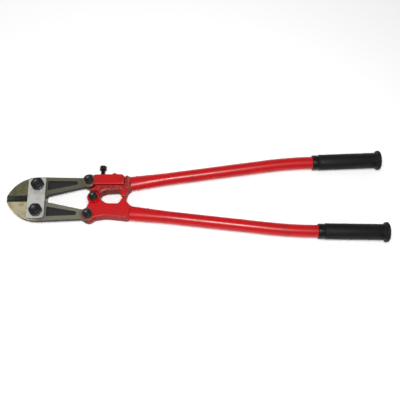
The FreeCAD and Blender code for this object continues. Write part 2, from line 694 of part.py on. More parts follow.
def tube_section(center, slope, half_width, half_height):
    """Closed oval across the tube, its width lying in the plane of the tool."""
    if abs(half_width - half_height) < 1e-6:
        curve = Part.Circle(ORIGIN, Z_AXIS, half_width)
    else:
        curve = Part.Ellipse(ORIGIN, half_width, half_height)
    wire = Part.Wire(curve.toShape())
    across = direction(slope + 90)
    along = direction(slope)
    turn = FreeCAD.Matrix(
        across.x, 0, along.x, center.x,
        across.y, 0, along.y, center.y,
        0, 1, 0, center.z,
        0, 0, 0, 1,
    )
    wire.Placement = FreeCAD.Placement(turn)
    return wire


def bend_points():
    """Start and end of the tube's bend, and its centre."""
    rise = (BEND_X - NECK_X) * math.tan(math.radians(TUBE_SLOPE))
    corner = TUBE_START + Vector(BEND_X - NECK_X, rise, 0)
    reach = BEND_RADIUS * math.tan(math.radians((TUBE_SLOPE - GRIP_SLOPE) / 2))
    start = corner - direction(TUBE_SLOPE) * reach
    end = corner + direction(GRIP_SLOPE) * reach
    return start, end, start + direction(TUBE_SLOPE - 90) * BEND_RADIUS


def grip_start():
    """Centre of the grip's mouth, on the straight end of the tube."""
    end = bend_points()[1]
    return end + direction(GRIP_SLOPE) * ((GRIP_X - end.x) / math.cos(math.radians(GRIP_SLOPE)))


def tube_core(inset):
    """Solid of the handle's path with its section made smaller by an inset."""
    start, end, bend_center = bend_points()
    swaged = TUBE_START + direction(TUBE_SLOPE) * TUBE_SWAGE_LENGTH
    radius = TUBE_RADIUS - inset
    finish = grip_start() + direction(GRIP_SLOPE) * (GRIP_LENGTH - GRIP_END_WALL)
    first = tube_section(TUBE_START, TUBE_SLOPE, *tube_half_sizes(0, inset))
    last = tube_section(swaged, TUBE_SLOPE, radius, radius)
    swage = Part.makeLoft([first, last], True, True)
    straight = Part.makeCylinder(radius, (start - swaged).Length, swaged, direction(TUBE_SLOPE))
    bend = Part.Face(tube_section(start, TUBE_SLOPE, radius, radius))
    bend = bend.revolve(bend_center, Z_AXIS, GRIP_SLOPE - TUBE_SLOPE)
    handle = Part.makeCylinder(radius, (finish - end).Length, end, direction(GRIP_SLOPE))
    return swage.multiFuse([straight, bend, handle]).removeSplitter()


def handle_tube():
    """Steel tube, swaged oval over the tang and bent parallel to the tool at the grip."""
    return tube_core(0).cut(tube_core(TUBE_WALL)).cut(tube_pins(SEAT_FIT))


def tube_pins(room):
    """Rivets across the tube and the tang, made larger by a room when they cut their holes."""
    across = direction(TUBE_SLOPE + 90)
    pins = []
    for step in TUBE_PIN_STEPS:
        center = TUBE_START + direction(TUBE_SLOPE) * step
        reach = tube_half_sizes(step / TUBE_SWAGE_LENGTH, 0)[0] + RIVET_PROUD + room
        pins.append(Part.makeCylinder(TUBE_PIN_RADIUS + room, 2 * reach, center - across * reach, across))
    return Part.makeCompound(pins)


def rivets():
    """Tube rivets with turned ends."""
    made = []
    for pin in tube_pins(0).Solids:
        rims = [edge for edge in pin.Edges if edge.Closed]
        made.append(pin.makeChamfer(RIVET_PROUD, rims))
    return Part.makeCompound(made)


def grip():
    """Rubber sleeve pushed over the tube's end, with a band at its mouth and an end flange."""
    bore = TUBE_RADIUS + SEAT_FIT
    flange = GRIP_LENGTH - GRIP_FLANGE_WIDTH
    profile = [
        (0, bore),
        (0, GRIP_MOUTH_RADIUS - GRIP_MOUTH_ROUND),
        (GRIP_MOUTH_ROUND, GRIP_MOUTH_RADIUS),
        (GRIP_BAND, GRIP_MOUTH_RADIUS),
        (GRIP_BAND + GRIP_BAND_STEP, GRIP_RADIUS),
        (flange, GRIP_RADIUS),
        (flange, GRIP_FLANGE_RADIUS - GRIP_ROUND),
        (flange + GRIP_ROUND, GRIP_FLANGE_RADIUS),
        (GRIP_LENGTH - GRIP_ROUND, GRIP_FLANGE_RADIUS),
        (GRIP_LENGTH, GRIP_FLANGE_RADIUS - GRIP_ROUND),
        (GRIP_LENGTH, 0),
        (GRIP_LENGTH - GRIP_END_WALL, 0),
        (GRIP_LENGTH - GRIP_END_WALL, bore),
        (0, bore),
    ]
    points = [Vector(step, radius, 0) for step, radius in profile]
    sleeve = Part.Face(Part.makePolygon(points)).revolve(ORIGIN, Vector(1, 0, 0), 360)
    sleeve.rotate(ORIGIN, Z_AXIS, GRIP_SLOPE)
    sleeve.translate(grip_start())
    return sleeve


def build():
    """All sub-parts by name, about the centre pivot."""
    parts = {}
    side_strap = strap()
    middle_height = STRAP_INNER + STRAP_THICKNESS / 2
    parts["top_strap"] = placed(side_strap, ORIGIN, middle_height)
    parts["bottom_strap"] = placed(side_strap, ORIGIN, -middle_height)
    upper = {
        "jaw": jaw(),
        "jaw_bolt": jaw_bolt(),
        "jaw_nut": placed(nut(JAW_BOLT_FLATS, JAW_NUT_HEIGHT, JAW_BOLT_RADIUS), JAW_PIVOT, -STRAP_OUTER),
        "pivot_bolt": pivot_bolt(REAR_PIVOT),
        "pivot_nut": pivot_nut(REAR_PIVOT),
        "tube": handle_tube(),
        "tube_rivets": rivets(),
        "grip": grip(),
    }
    for name, shape in upper.items():
        parts["upper_" + name] = shape
        parts["lower_" + name] = mirrored(shape)
    parts["upper_bracket"] = upper_bracket()
    parts["lower_bracket"] = lower_bracket()
    parts["adjuster_arm"] = adjuster_arm()
    parts["arm_pin"] = arm_pin()
    parts["adjusting_screw"] = adjusting_screw()
    parts["clamp_screw"] = clamp_screw()
    parts["center_bolt"] = pivot_bolt(ORIGIN)
    parts["center_nut"] = pivot_nut(ORIGIN)
    return parts


def main():
    """Write every sub-part, moved so that the tool stands on Z = 0 about the middle of its box."""
    parts = build()
    box = Part.makeCompound(list(parts.values())).optimalBoundingBox()
    shift = Vector(-(box.XMin + box.XMax) / 2, -(box.YMin + box.YMax) / 2, -box.ZMin)
    os.makedirs("parts", exist_ok=True)
    for name, shape in parts.items():
        shape.translate(shift)
        shape.exportStep(os.path.join("parts", name + ".step"))
    print("parts", len(parts), "box", box.XLength, box.YLength, box.ZLength)
    print("centre pivot at", shift.x, shift.y, shift.z)


main()
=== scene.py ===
"""Long-handled bolt cutters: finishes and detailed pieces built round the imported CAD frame."""

import json
import logging
import math
from dataclasses import dataclass
from enum import Enum

import bmesh
import bpy
from mathutils import Matrix, Vector, noise


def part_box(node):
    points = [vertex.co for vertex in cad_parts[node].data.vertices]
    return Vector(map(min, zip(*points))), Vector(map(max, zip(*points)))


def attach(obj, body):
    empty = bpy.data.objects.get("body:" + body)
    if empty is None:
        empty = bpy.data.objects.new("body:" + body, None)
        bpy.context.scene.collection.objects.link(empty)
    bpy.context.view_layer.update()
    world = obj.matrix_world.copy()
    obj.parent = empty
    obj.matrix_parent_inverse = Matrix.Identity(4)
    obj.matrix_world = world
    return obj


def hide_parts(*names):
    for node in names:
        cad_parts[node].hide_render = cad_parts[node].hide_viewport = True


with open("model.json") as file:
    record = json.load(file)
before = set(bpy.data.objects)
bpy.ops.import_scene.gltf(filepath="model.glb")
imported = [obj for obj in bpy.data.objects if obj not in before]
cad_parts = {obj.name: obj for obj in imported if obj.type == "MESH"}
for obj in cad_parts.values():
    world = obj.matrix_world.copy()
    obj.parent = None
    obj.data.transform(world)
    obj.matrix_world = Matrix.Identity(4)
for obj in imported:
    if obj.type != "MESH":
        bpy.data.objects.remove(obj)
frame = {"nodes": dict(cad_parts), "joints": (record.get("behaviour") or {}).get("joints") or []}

Tree = bpy.types.NodeTree
Node = bpy.types.Node
Socket = bpy.types.NodeSocket
Piece = bpy.types.Object
Work = bmesh.types.BMesh
Pair = tuple[float, float]

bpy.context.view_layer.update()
LOG = logging.getLogger("bolt_cutters")
MM = 0.001
# Half the thickness of the jaws and the height of their mid-plane, in metres
MID_HEIGHT = 20.2 * MM
JAW_HALF = 7.0 * MM
# Distance under which loose triangles of the CAD and ends of a spun shape are merged, in millimetres
CAD_MERGE = 0.002
SPUN_MERGE = 0.001
# The values between which most of a noise texture lies
NOISE_SPAN = (0.3, 0.7)


class Side(Enum):
    """The two mirrored halves of the tool: the sign of Y on each side."""

    UPPER = 1
    LOWER = -1

    @property
    def word(self) -> str:
        """The word that starts the names of this side's pieces."""
        return self.name.lower()


def linear(code: str) -> tuple[float, float, float, float]:
    """Turn an sRGB hex code into a linear colour.

    Args:
        code: The colour as "#rrggbb".

    Returns:
        Red, green, blue and an alpha of one.
    """
    shares = [int(code[i:i + 2], 16) / 255 for i in (1, 3, 5)]
    straight = [s / 12.92 if s <= 0.04045 else ((s + 0.055) / 1.055) ** 2.4 for s in shares]
    return (*straight, 1.0)


def per_mm(size: float) -> float:
    """Texture scale, per metre, of a pattern whose features are a size in millimetres."""
    return 1.0 / (size * MM)


def add(tree: Tree, kind: str, inputs: dict | None = None, **settings) -> Node:
    """Add one node to a tree.

    Args:
        tree: The node tree.
        kind: The node's type name.
        inputs: Values of its sockets by name or number; another node's socket is linked.
        **settings: Properties of the node.

    Returns:
        The new node.
    """
    node = tree.nodes.new(kind)
    for name, value in settings.items():
        setattr(node, name, value)
    for key, value in (inputs or {}).items():
        if isinstance(value, Socket):
            tree.links.new(value, node.inputs[key])
        else:
            node.inputs[key].default_value = value
    return node


@dataclass(frozen=True)
class Finish:
    """A finish: builds its material once and puts it on pieces."""

    name: str

    def material(self) -> bpy.types.Material:
        """Find the material of this finish, or build it at its first use.

        Returns:
            The material.
        """
        made = bpy.data.materials.get(self.name)
        if made is None:
            made = bpy.data.materials.new(self.name)
            made.use_nodes = True
            tree = made.node_tree
            tree.nodes.clear()
            place = add(tree, "ShaderNodeTexCoord").outputs["Object"]
            shader = add(tree, "ShaderNodeBsdfPrincipled")
            add(tree, "ShaderNodeOutputMaterial", {"Surface": shader.outputs[0]})
            self.dress(tree, shader, place)
        return made

    def dress(self, tree: Tree, shader: Node, place: Socket) -> None:
        """Fill the tree. Each finish has its own."""
        raise NotImplementedError

    def put_on(self, piece: Piece) -> None:
        """Give a piece this finish as its only material."""
        piece.data.materials.clear()
        piece.data.materials.append(self.material())


@dataclass(frozen=True)
class RedEnamel(Finish):
    """Alkyd enamel sprayed on steel. The eye gets a wet red gloss that rolls over the uneven metal."""

    pigment: str = "#c00008"
    thin: str = "#a80209"
    rubbed: str = "#6e4236"
    # Painted shade: the colour of the darkened oval patches
    bare: str = "#5a5643"
    patch_shade: str = "#940c10"
    speck: str = "#a97560"
    # Painted shade: the colour that upright walls are darkened to
    wall_shade: str = "#7a0604"
    cloud_size: float = 22.0
    thin_span: Pair = (0.42, 0.75)
    speck_size: float = 2.2
    speck_from: float = 0.7
    speck_fade: float = 0.08
    wave_size: float = 9.0
    wave_depth: float = 0.10
    peel_size: float = 1.6
    peel_depth: float = 0.012
    roughness: Pair = (0.26, 0.4)
    specular: float = 0.4
    coat: float = 0.06
    coat_roughness: float = 0.1
    lobe: Pair = (-220.0, 36.2)
    lobe_reach: Pair = (13.0, 16.0)
    lobe_share: float = 0.97
    shade_patches: tuple[tuple[float, float, float, float], ...] = ()
    patch_span: Pair = (1.25, 0.7)
    patch_specks: float = 0.13
    wall_share: float = 0.0
    wall_span: Pair = (0.6, 0.2)
    wall_roughness: float = 0.9

    def lobe_mask(self, tree: Tree, place: Socket) -> Socket:
        """Mark the lobes round the rear pivots, where the moving joint has rubbed the paint.

        Args:
            tree: The material's node tree.
            place: The point on the piece, in metres.

        Returns:
            One on the lobes, fading to nought.
        """
        spot = add(tree, "ShaderNodeSeparateXYZ", {0: place})
        across = add(tree, "ShaderNodeMath", {0: spot.outputs[1]}, operation="ABSOLUTE")
        folded = add(tree, "ShaderNodeCombineXYZ", {0: spot.outputs[0], 1: across.outputs[0]})
        middle = (self.lobe[0] * MM, self.lobe[1] * MM, 0.0)
        away = add(tree, "ShaderNodeVectorMath", {0: folded.outputs[0], 1: middle}, operation="DISTANCE")
        near, far = self.lobe_reach
        mask = add(tree, "ShaderNodeMapRange", {0: away.outputs["Value"], 1: far * MM, 2: near * MM})
        return mask.outputs[0]

    def shade_patch_mask(self, tree: Tree, place: Socket) -> Socket:
        """Mark the oval patches that are darkened as painted shade and specked more.

        Args:
            tree: The material's node tree.
            place: The point on the piece, in metres.

        Returns:
            One inside the patches, fading to nought.
        """
        shade = add(tree, "ShaderNodeMath", {0: 0.0, 1: 0.0}).outputs[0]
        outside, inside = self.patch_span
        # Each patch is a middle and two half-widths, in millimetres
        for middle_x, middle_y, half_x, half_y in self.shade_patches:
            oval = add(
                tree, "ShaderNodeMapping",
                {
                    "Vector": place, "Location": (-middle_x / half_x, -middle_y / half_y, 0.0),
                    "Scale": (per_mm(half_x), per_mm(half_y), 0.0),
                },
            )
            away = add(tree, "ShaderNodeVectorMath", {0: oval.outputs[0]}, operation="LENGTH")
            within = add(tree, "ShaderNodeMapRange", {0: away.outputs["Value"], 1: outside, 2: inside})
            both = add(tree, "ShaderNodeMath", {0: shade, 1: within.outputs[0]}, operation="MAXIMUM")
            shade = both.outputs[0]
        return shade

    def wall_shade_mask(self, tree: Tree) -> Socket:
        """Mark upright walls, whose colour is darkened and browned as painted shade.

        Args:
            tree: The material's node tree.

        Returns:
            The walls' share on upright faces, and nought on faces that look up or down.
        """
        facing = add(tree, "ShaderNodeSeparateXYZ", {0: add(tree, "ShaderNodeNewGeometry").outputs["Normal"]})
        upward = add(tree, "ShaderNodeMath", {0: facing.outputs[2]}, operation="ABSOLUTE")
        flat, upright = self.wall_span
        mask = add(
            tree, "ShaderNodeMapRange", {0: upward.outputs[0], 1: flat, 2: upright, 4: self.wall_share},
        )
        return mask.outputs[0]

    def colour(self, tree: Tree, place: Socket, cloud: Socket, on_wall: Socket) -> Socket:
        """Lay the pigment, the patches of painted shade, the painted shade on the walls, the specks and the
        rubbed lobes over each other.

        Args:
            tree: The material's node tree.
            place: The point on the piece, in metres.
            cloud: A slow noise that says where the pigment thins.
            on_wall: The mask of upright walls.

        Returns:
            The colour.
        """
        thinning = add(
            tree, "ShaderNodeMapRange", {0: cloud, 1: self.thin_span[0], 2: self.thin_span[1]},
        )
        body = add(
            tree, "ShaderNodeMix",
            {0: thinning.outputs[0], 6: linear(self.pigment), 7: linear(self.thin)}, data_type="RGBA",
        )
        # Painted shade in the oval patches, which also get more specks
        on_patch = self.shade_patch_mask(tree, place)
        patch_shaded = add(
            tree, "ShaderNodeMix",
            {0: on_patch, 6: body.outputs[2], 7: linear(self.patch_shade)}, data_type="RGBA",
        )
        # Painted shade: upright walls are darkened and browned
        sides = add(
            tree, "ShaderNodeMix",
            {0: on_wall, 6: patch_shaded.outputs[2], 7: linear(self.wall_shade)}, data_type="RGBA",
        )
        specks = add(
            tree, "ShaderNodeTexNoise", {"Vector": place, "Scale": per_mm(self.speck_size), "Detail": 6.0},
        )
        more = add(
            tree, "ShaderNodeMath",
            {0: on_patch, 1: self.patch_specks, 2: specks.outputs[0]}, operation="MULTIPLY_ADD",
        )
        chipping = add(
            tree, "ShaderNodeMapRange",
            {0: more.outputs[0], 1: self.speck_from, 2: self.speck_from + self.speck_fade},
        )
        specked = add(
            tree, "ShaderNodeMix",
            {0: chipping.outputs[0], 6: sides.outputs[2], 7: linear(self.speck)}, data_type="RGBA",
        )
        spot = add(tree, "ShaderNodeSeparateXYZ", {0: place})
        baring = add(tree, "ShaderNodeMapRange", {0: spot.outputs[1], 1: 0.0, 2: MM})
        rubbed = add(
            tree, "ShaderNodeMix",
            {0: baring.outputs[0], 6: linear(self.rubbed), 7: linear(self.bare)}, data_type="RGBA",
        )
        on_lobe = add(
            tree, "ShaderNodeMath",
            {0: self.lobe_mask(tree, place), 1: self.lobe_share}, operation="MULTIPLY",
        )
        whole = add(
            tree, "ShaderNodeMix",
            {0: on_lobe.outputs[0], 6: specked.outputs[2], 7: rubbed.outputs[2]}, data_type="RGBA",
        )
        return whole.outputs[2]

    def dress(self, tree: Tree, shader: Node, place: Socket) -> None:
        """Put the colour under a coat that rolls in slow waves and fine orange peel.

        Args:
            tree: The material's node tree.
            shader: Its shader.
            place: The point on the piece, in metres.
        """
        cloud = add(
            tree, "ShaderNodeTexNoise", {"Vector": place, "Scale": per_mm(self.cloud_size), "Detail": 4.0},
        )
        on_wall = self.wall_shade_mask(tree)
        tree.links.new(self.colour(tree, place, cloud.outputs[0], on_wall), shader.inputs["Base Color"])
        low, high = NOISE_SPAN
        gloss = add(
            tree, "ShaderNodeMapRange",
            {0: cloud.outputs[0], 1: low, 2: high, 3: self.roughness[0], 4: self.roughness[1]},
        )
        rough = add(tree, "ShaderNodeMix", {0: on_wall, 2: gloss.outputs[0], 3: self.wall_roughness})
        tree.links.new(rough.outputs[0], shader.inputs["Roughness"])
        shader.inputs["IOR"].default_value = 1.5
        shader.inputs["Specular IOR Level"].default_value = self.specular
        shader.inputs["Coat Weight"].default_value = self.coat
        shader.inputs["Coat Roughness"].default_value = self.coat_roughness
        waves = add(
            tree, "ShaderNodeTexNoise", {"Vector": place, "Scale": per_mm(self.wave_size), "Detail": 2.0},
        )
        peel = add(tree, "ShaderNodeTexNoise", {"Vector": place, "Scale": per_mm(self.peel_size)})
        rolling = add(
            tree, "ShaderNodeBump",
            {"Height": waves.outputs[0], "Distance": self.wave_depth * MM, "Strength": 1.0},
        )
        skin = add(
            tree, "ShaderNodeBump",
            {"Height": peel.outputs[0], "Distance": self.peel_depth * MM, "Normal": rolling.outputs[0]},
        )
        tree.links.new(skin.outputs[0], shader.inputs["Normal"])


@dataclass(frozen=True)
class BlackOxide(Finish):
    """Hot black oxide on machined steel, oiled. Nearly black, with a soft sheen and brown rub marks."""

    oxide: str = "#191a1b"
    rub: str = "#37322c"
    cloud_size: float = 5.0
    rub_span: Pair = (0.5, 0.78)
    roughness: Pair = (0.3, 0.5)
    metallic: float = 0.8
    grain: float = 0.9
    depth: float = 0.02

    def dress(self, tree: Tree, shader: Node, place: Socket) -> None:
        """Cloud the dark metal with rub marks, over a fine sawn grain.

        Args:
            tree: The material's node tree.
            shader: Its shader.
            place: The point on the piece, in metres.
        """
        cloud = add(
            tree, "ShaderNodeTexNoise", {"Vector": place, "Scale": per_mm(self.cloud_size), "Detail": 6.0},
        )
        rubbing = add(
            tree, "ShaderNodeMapRange", {0: cloud.outputs[0], 1: self.rub_span[0], 2: self.rub_span[1]},
        )
        colour = add(
            tree, "ShaderNodeMix",
            {0: rubbing.outputs[0], 6: linear(self.oxide), 7: linear(self.rub)}, data_type="RGBA",
        )
        tree.links.new(colour.outputs[2], shader.inputs["Base Color"])
        low, high = NOISE_SPAN
        sheen = add(
            tree, "ShaderNodeMapRange",
            {0: cloud.outputs[0], 1: low, 2: high, 3: self.roughness[0], 4: self.roughness[1]},
        )
        tree.links.new(sheen.outputs[0], shader.inputs["Roughness"])
        shader.inputs["Metallic"].default_value = self.metallic
        fine = add(tree, "ShaderNodeTexNoise", {"Vector": place, "Scale": per_mm(self.grain), "Detail": 3.0})
        skin = add(tree, "ShaderNodeBump", {"Height": fine.outputs[0], "Distance": self.depth * MM})
        tree.links.new(skin.outputs[0], shader.inputs["Normal"])


@dataclass(frozen=True)
class ZincPlate(Finish):
    """Satin zinc plate on a blanked strap. Light silver, warm and clouded, with fine polishing lines."""

    plate: str = "#cbcbc8"
    warm: str = "#b4aea2"
    # Painted shade: the colour of the strap's edge walls
    edge_shade: str = "#3a3936"
    cloud_size: float = 16.0
    warm_span: Pair = (0.45, 0.72)
    wall_reach: Pair = (7.6, 12.3)
    wall_fade: Pair = (0.2, 0.4)
    line_size: float = 0.35
    line_stretch: float = 0.04
    depth: float = 0.01
    roughness: Pair = (0.3, 0.46)
    metallic: float = 0.45

    def wall_shade_mask(self, tree: Tree, place: Socket) -> Socket:
        """Mark a strap's thickness, whose edge walls are painted dark as shade.

        Args:
            tree: The material's node tree.
            place: The point on the strap, in metres.

        Returns:
            One between the strap's two faces, fading to nought.
        """
        spot = add(tree, "ShaderNodeSeparateXYZ", {0: place})
        rise = add(tree, "ShaderNodeMath", {0: spot.outputs[2], 1: MID_HEIGHT}, operation="SUBTRACT")
        off_middle = add(tree, "ShaderNodeMath", {0: rise.outputs[0]}, operation="ABSOLUTE")
        inner, outer = (reach * MM for reach in self.wall_reach)
        in_fade, out_fade = (fade * MM for fade in self.wall_fade)
        above = add(tree, "ShaderNodeMapRange", {0: off_middle.outputs[0], 1: inner, 2: inner + in_fade})
        below = add(tree, "ShaderNodeMapRange", {0: off_middle.outputs[0], 1: outer, 2: outer - out_fade})
        between = add(
            tree, "ShaderNodeMath", {0: above.outputs[0], 1: below.outputs[0]}, operation="MULTIPLY",
        )
        return between.outputs[0]

    def dress(self, tree: Tree, shader: Node, place: Socket) -> None:
        """Cloud the silver with a warm passivate, over lines that run across the tool. The edge walls are
        painted dark as shade.

        Args:
            tree: The material's node tree.
            shader: Its shader.
            place: The point on the strap, in metres.
        """
        cloud = add(
            tree, "ShaderNodeTexNoise", {"Vector": place, "Scale": per_mm(self.cloud_size), "Detail": 3.0},
        )
        warming = add(
            tree, "ShaderNodeMapRange", {0: cloud.outputs[0], 1: self.warm_span[0], 2: self.warm_span[1]},
        )
        faces = add(
            tree, "ShaderNodeMix",
            {0: warming.outputs[0], 6: linear(self.plate), 7: linear(self.warm)}, data_type="RGBA",
        )
        # Painted shade: the strap's edge walls are darkened
        whole = add(
            tree, "ShaderNodeMix",
            {0: self.wall_shade_mask(tree, place), 6: faces.outputs[2], 7: linear(self.edge_shade)}, data_type="RGBA",
        )
        tree.links.new(whole.outputs[2], shader.inputs["Base Color"])
        stretched = add(tree, "ShaderNodeMapping", {"Vector": place, "Scale": (1.0, self.line_stretch, 1.0)})
        lines = add(
            tree, "ShaderNodeTexNoise",
            {"Vector": stretched.outputs[0], "Scale": per_mm(self.line_size), "Detail": 2.0},
        )
        low, high = NOISE_SPAN
        sheen = add(
            tree, "ShaderNodeMapRange",
            {0: lines.outputs[0], 1: low, 2: high, 3: self.roughness[0], 4: self.roughness[1]},
        )
        tree.links.new(sheen.outputs[0], shader.inputs["Roughness"])
        shader.inputs["Metallic"].default_value = self.metallic
        skin = add(tree, "ShaderNodeBump", {"Height": lines.outputs[0], "Distance": self.depth * MM})
        tree.links.new(skin.outputs[0], shader.inputs["Normal"])


@dataclass(frozen=True)
class ForgedJawSteel(Finish):
    """Drop-forged jaw: faces ground and lacquered, bevels ground bright, sides and pockets in dark scale; the
    sides are painted near black, partly as painted shade.
    """

    nose: str = "#676646"
    blotch: str = "#555138"
    tail: str = "#5d5a4b"
    bevel: str = "#292a27"
    streak: str = "#62635c"
    # Dark scale on the walls, partly painted shade
    wall_scale_and_shade: str = "#1d1e1f"
    pocket: str = "#1b1c1c"
    cloud_size: float = 11.0
    blotch_span: Pair = (0.42, 0.68)
    bevel_reach: float = 6.9
    bevel_fade: float = 0.3
    bevel_end: float = -333.0
    tail_start: float = -326.0
    tail_fade: float = 12.0
    scale_and_shade_depths: Pair = (1.7, 2.1)
    pocket_below: Pair = (3.6, 3.2)
    stroke_size: float = 0.9
    stroke_stretch: float = 0.03
    stroke_depth: float = 0.012
    streak_span: Pair = (0.5, 0.72)
    pit_size: float = 1.3
    pit_depth: float = 0.12
    roughness: Pair = (0.32, 0.45)
    scale_roughness: float = 0.62
    metallic: float = 0.3

    def lacquered(self, tree: Tree, place: Socket, along: Socket) -> Socket:
        """Blotched lacquer on the nose that turns to the duller tail behind the strap.

        Args:
            tree: The material's node tree.
            place: The point on the jaw, in metres.
            along: Its X.

        Returns:
            The colour of the two faces.
        """
        cloud = add(
            tree, "ShaderNodeTexNoise", {"Vector": place, "Scale": per_mm(self.cloud_size), "Detail": 4.0},
        )
        patches = add(
            tree, "ShaderNodeMapRange", {0: cloud.outputs[0], 1: self.blotch_span[0], 2: self.blotch_span[1]},
        )
        nose = add(
            tree, "ShaderNodeMix",
            {0: patches.outputs[0], 6: linear(self.nose), 7: linear(self.blotch)}, data_type="RGBA",
        )
        to_tail = add(
            tree, "ShaderNodeMapRange",
            {0: along, 1: self.tail_start * MM, 2: (self.tail_start + self.tail_fade) * MM},
        )
        face = add(
            tree, "ShaderNodeMix",
            {0: to_tail.outputs[0], 6: nose.outputs[2], 7: linear(self.tail)}, data_type="RGBA",
        )
        return face.outputs[2]

    def bevel_mask(self, tree: Tree, along: Socket, across: Socket) -> Socket:
        """Mark the ground bevels beside the cutting edge, in front of the strap.

        Args:
            tree: The material's node tree.
            along: The point's X.
            across: Its Y.

        Returns:
            One on the bevels, fading to nought.
        """
        off_edge = add(tree, "ShaderNodeMath", {0: across}, operation="ABSOLUTE")
        inner = self.bevel_reach - self.bevel_fade
        band = add(
            tree, "ShaderNodeMapRange", {0: off_edge.outputs[0], 1: self.bevel_reach * MM, 2: inner * MM},
        )
        before = add(
            tree, "ShaderNodeMapRange", {0: along, 1: self.bevel_end * MM, 2: (self.bevel_end - 1) * MM},
        )
        mask = add(tree, "ShaderNodeMath", {0: band.outputs[0], 1: before.outputs[0]}, operation="MULTIPLY")
        return mask.outputs[0]

    def below_mask(self, tree: Tree, height: Socket, span: Pair) -> Socket:
        """Mark what lies below the jaw's two faces.

        Args:
            tree: The material's node tree.
            height: The point's Z.
            span: The depths under a face, in millimetres, at which the mask is nought and one.

        Returns:
            The mask.
        """
        rise = add(tree, "ShaderNodeMath", {0: height, 1: MID_HEIGHT}, operation="SUBTRACT")
        off_middle = add(tree, "ShaderNodeMath", {0: rise.outputs[0]}, operation="ABSOLUTE")
        none, full = (JAW_HALF - depth * MM for depth in span)
        return add(tree, "ShaderNodeMapRange", {0: off_middle.outputs[0], 1: none, 2: full}).outputs[0]

    def dress(self, tree: Tree, shader: Node, place: Socket) -> None:
        """Colour by the place on the jaw, with grinding lines on the flats and pitted scale elsewhere; the
        near-black walls are partly painted shade.

        Args:
            tree: The material's node tree.
            shader: Its shader.
            place: The point on the jaw, in metres.
        """
        along, across, height = add(tree, "ShaderNodeSeparateXYZ", {0: place}).outputs
        # Grinding strokes run along the edge, 0.9 mm apart so that they show
        strokes_place = add(
            tree, "ShaderNodeMapping", {"Vector": place, "Scale": (self.stroke_stretch, 1.0, 1.0)},
        )
        strokes = add(
            tree, "ShaderNodeTexNoise",
            {"Vector": strokes_place.outputs[0], "Scale": per_mm(self.stroke_size), "Detail": 3.0},
        )
        streaking = add(
            tree, "ShaderNodeMapRange",
            {0: strokes.outputs[0], 1: self.streak_span[0], 2: self.streak_span[1]},
        )
        ground = add(
            tree, "ShaderNodeMix",
            {0: streaking.outputs[0], 6: linear(self.bevel), 7: linear(self.streak)}, data_type="RGBA",
        )
        on_bevel = self.bevel_mask(tree, along, across)
        flats = add(
            tree, "ShaderNodeMix",
            {0: on_bevel, 6: self.lacquered(tree, place, along), 7: ground.outputs[2]}, data_type="RGBA",
        )
        # Dark scale below the faces, partly painted shade: the walls are painted near black for the shade
        # they fall in
        below_face = self.below_mask(tree, height, self.scale_and_shade_depths)
        off_bevel = add(tree, "ShaderNodeMath", {0: 1.0, 1: on_bevel}, operation="SUBTRACT")
        scale_and_shade_share = add(tree, "ShaderNodeMath", {0: below_face, 1: off_bevel.outputs[0]}, operation="MULTIPLY")
        scale_and_shade_colour = add(
            tree, "ShaderNodeMix",
            {
                0: self.below_mask(tree, height, self.pocket_below),
                6: linear(self.wall_scale_and_shade), 7: linear(self.pocket),
            },
            data_type="RGBA",
        )
        colour = add(
            tree, "ShaderNodeMix",
            {0: scale_and_shade_share.outputs[0], 6: flats.outputs[2], 7: scale_and_shade_colour.outputs[2]}, data_type="RGBA",
        )
        tree.links.new(colour.outputs[2], shader.inputs["Base Color"])
        low, high = NOISE_SPAN
        smooth = add(
            tree, "ShaderNodeMapRange",
            {0: strokes.outputs[0], 1: low, 2: high, 3: self.roughness[0], 4: self.roughness[1]},
        )
        rough = add(
            tree, "ShaderNodeMix", {0: scale_and_shade_share.outputs[0], 2: smooth.outputs[0], 3: self.scale_roughness},
        )
        tree.links.new(rough.outputs[0], shader.inputs["Roughness"])
        shader.inputs["Metallic"].default_value = self.metallic
        pits = add(
            tree, "ShaderNodeTexNoise", {"Vector": place, "Scale": per_mm(self.pit_size), "Detail": 5.0},
        )
        pitting = add(
            tree, "ShaderNodeMath", {0: scale_and_shade_share.outputs[0], 1: self.pit_depth * MM}, operation="MULTIPLY",
        )
        scale_skin = add(tree, "ShaderNodeBump", {"Height": pits.outputs[0], "Distance": pitting.outputs[0]})
        skin = add(
            tree, "ShaderNodeBump",
            {
                "Height": strokes.outputs[0], "Distance": self.stroke_depth * MM,
                "Normal": scale_skin.outputs[0],
            },
        )
        tree.links.new(skin.outputs[0], shader.inputs["Normal"])


